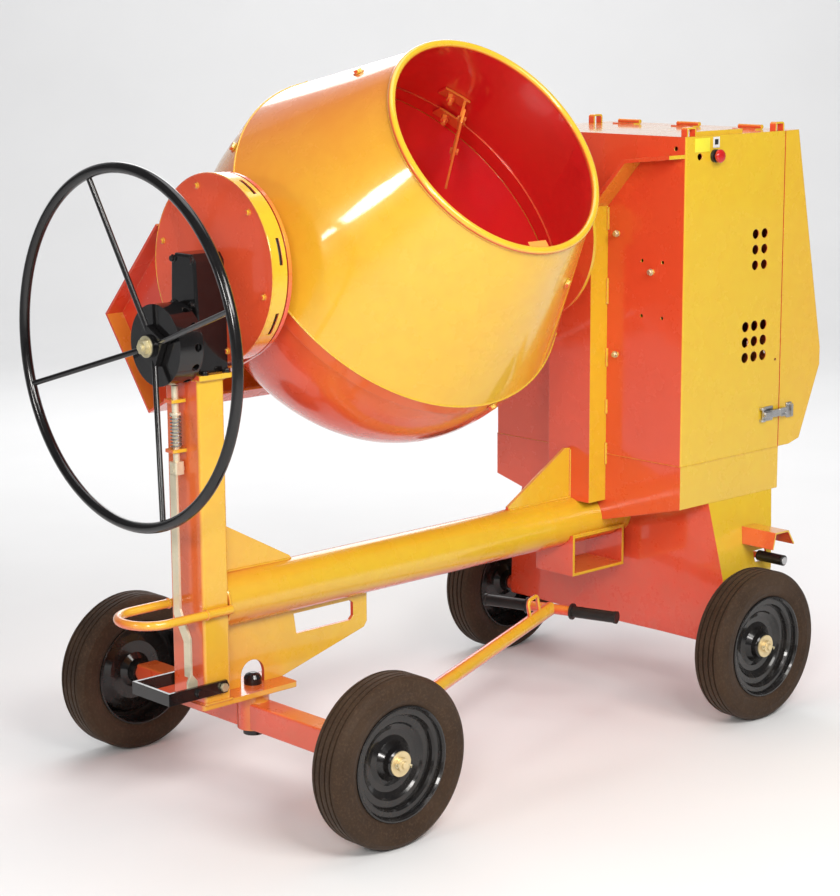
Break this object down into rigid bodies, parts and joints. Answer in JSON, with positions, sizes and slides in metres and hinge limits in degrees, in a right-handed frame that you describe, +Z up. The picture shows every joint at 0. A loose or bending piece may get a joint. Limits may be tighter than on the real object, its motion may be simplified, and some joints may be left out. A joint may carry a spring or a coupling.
{
  "type": "concrete mixer",
  "caption": "Wheeled site concrete mixer with a tilting drum in a yoke, tipping handwheel, central beam and enclosed engine house.",
  "frame": {"origin": "on the ground, on the centre plane, at the middle of the overall length", "axes": "+X from the handwheel end to the engine end, +Z up, the drum's mouth faces -Y at rest"},
  "size_m": [2.156, 1.1, 1.81],
  "materials": {
    "orange_paint": "gloss",
    "black_paint": "gloss",
    "tyre_rubber": "matt",
    "zinc_plate": "satin",
    "bright_steel": "satin",
    "black_plastic": "matt",
    "red_plastic": "gloss",
    "machined_steel": "satin",
    "cast_iron": "matt",
    "belt_rubber": "matt"
  },
  "bodies": {
    "chassis": {"engine": "cast_iron", "fork_pocket": "orange_paint", "front_column": "orange_paint", "fuel_tank": "black_paint", "gear_casing": "black_paint", "gear_guard": "orange_paint", "guard_hoop": "orange_paint", "gussets": "orange_paint", "housing_shell": "orange_paint", "housing_tray": "orange_paint", "kingpin": "black_paint", "lever_guard": "orange_paint", "lifting_lugs": "orange_paint", "lock_spring": "zinc_plate", "main_beam": "orange_paint", "pedal_bolts": "black_paint", "pedestal": "orange_paint", "rear_axle": "orange_paint", "rear_bearing": "orange_paint", "rear_post": "orange_paint", "stop_base": "black_plastic", "turntable_plate": "orange_paint", "v_belt": "belt_rubber"},
    "yoke": {"yoke_front_plate": "orange_paint", "yoke_rear_plate": "orange_paint", "yoke_back": "orange_paint", "trunnions": "orange_paint", "ring_gear": "machined_steel", "drive_box": "orange_paint", "drive_chain": "machined_steel"},
    "drum": {"drum_bowl": "orange_paint", "drum_cone": "orange_paint", "mouth_lip": "orange_paint", "mixing_blades": "orange_paint", "drum_shaft": "machined_steel", "drum_bolts": "orange_paint"},
    "handwheel": {"handwheel": "black_paint", "index_cup": "black_paint", "pinion_shaft": "machined_steel"},
    "input_shaft": {"input_shaft": "machined_steel"},
    "countershaft": {"countershaft": "machined_steel"},
    "crank": {"crank_pulley": "cast_iron"},
    "front_axle": {"front_axle": "orange_paint"},
    "tow_bar": {"tow_bar": "orange_paint", "tow_grips": "black_paint"},
    "front_right_wheel": {"front_right_tyre": "tyre_rubber", "front_right_wheel": "black_paint"},
    "front_left_wheel": {"front_left_tyre": "tyre_rubber", "front_left_wheel": "black_paint"},
    "rear_right_wheel": {"rear_right_tyre": "tyre_rubber", "rear_right_wheel": "black_paint"},
    "rear_left_wheel": {"rear_left_tyre": "tyre_rubber", "rear_left_wheel": "black_paint"},
    "pedal": {"foot_pedal": "black_paint"},
    "plunger": {"plunger_pin": "zinc_plate", "pull_strap": "zinc_plate"},
    "hood": {"rear_hood": "orange_paint"},
    "latch": {"toggle_latch": "bright_steel"},
    "stop_button": {"stop_button": "red_plastic"},
    "lever": {"clutch_lever": "orange_paint"}
  },
  "joints": [
    {"name": "yoke_tilt", "type": "hinge", "parent": "chassis", "child": "yoke", "pos_m": [-0.739, 0, 1.2955], "axis": [1, 0, 0], "range_deg": [-53.5, 90]},
    {"name": "handwheel_turn", "type": "hinge", "parent": "chassis", "child": "handwheel", "pos_m": [-0.963, 0, 1.133], "axis": [1, 0, 0], "range_deg": [-286, 480.5]},
    {"name": "drum_spin", "type": "hinge", "parent": "yoke", "child": "drum", "pos_m": [-0.227, 0, 1.2955], "axis": [0, -0.8039, 0.5948], "continuous": true},
    {"name": "countershaft_spin", "type": "hinge", "parent": "yoke", "child": "countershaft", "pos_m": [-0.227, 0.3127, 1.06411], "axis": [1, 0, 0], "continuous": true},
    {"name": "input_spin", "type": "hinge", "parent": "yoke", "child": "input_shaft", "pos_m": [0.307, 0, 1.2955], "axis": [1, 0, 0], "continuous": true},
    {"name": "crank_spin", "type": "hinge", "parent": "chassis", "child": "crank", "pos_m": [0.553, 0, 0.86], "axis": [1, 0, 0], "continuous": true},
    {"name": "front_steer", "type": "hinge", "parent": "chassis", "child": "front_axle", "pos_m": [-0.693, 0, 0.2], "axis": [0, 0, 1], "range_deg": [-30, 30]},
    {"name": "tow_bar_drop", "type": "hinge", "parent": "front_axle", "child": "tow_bar", "pos_m": [-0.627, -0.34, 0.206], "axis": [-0.3034, 0.9529, 0], "range_deg": [0, 14]},
    {"name": "front_right_roll", "type": "hinge", "parent": "front_axle", "child": "front_right_wheel", "pos_m": [-0.693, -0.494, 0.203], "axis": [0, 1, 0], "continuous": true},
    {"name": "front_left_roll", "type": "hinge", "parent": "front_axle", "child": "front_left_wheel", "pos_m": [-0.693, 0.494, 0.203], "axis": [0, 1, 0], "continuous": true},
    {"name": "rear_right_roll", "type": "hinge", "parent": "chassis", "child": "rear_right_wheel", "pos_m": [0.648, -0.475, 0.203], "axis": [0, 1, 0], "continuous": true},
    {"name": "rear_left_roll", "type": "hinge", "parent": "chassis", "child": "rear_left_wheel", "pos_m": [0.648, 0.475, 0.203], "axis": [0, 1, 0], "continuous": true},
    {"name": "pedal_press", "type": "hinge", "parent": "chassis", "child": "pedal", "pos_m": [-0.839, 0, 0.313], "axis": [0, -1, 0], "range_deg": [0, 10]},
    {"name": "plunger_slide", "type": "slide", "parent": "chassis", "child": "plunger", "axis": [0, 0, -1], "range_m": [0, 0.0125], "deforming": ["lock_spring"]},
    {"name": "hood_open", "type": "hinge", "parent": "chassis", "child": "hood", "pos_m": [0.9015, 0, 1.562], "axis": [0, -1, 0], "range_deg": [0, 75]},
    {"name": "latch_swing", "type": "hinge", "parent": "chassis", "child": "latch", "pos_m": [0.823, -0.349, 0.788], "axis": [0, 0, -1], "range_deg": [0, 120]},
    {"name": "stop_press", "type": "slide", "parent": "chassis", "child": "stop_button", "axis": [0, 1, 0], "range_m": [0, 0.005], "stiffness_N_per_m": 400},
    {"name": "lever_pull", "type": "hinge", "parent": "chassis", "child": "lever", "pos_m": [0.764, -0.354, 0.33], "axis": [0, 1, 0], "range_deg": [0, 20]}
  ],
  "couplings": [
    {"joint": "handwheel_turn", "follows": "yoke_tilt", "ratio": 5.3333},
    {"joint": "countershaft_spin", "follows": "drum_spin", "ratio": 3},
    {"joint": "input_spin", "follows": "drum_spin", "ratio": 3},
    {"joint": "crank_spin", "follows": "drum_spin", "ratio": 11.29},
    {"joint": "plunger_slide", "follows": "pedal_press", "m_per_rad": 0.071}
  ]
}
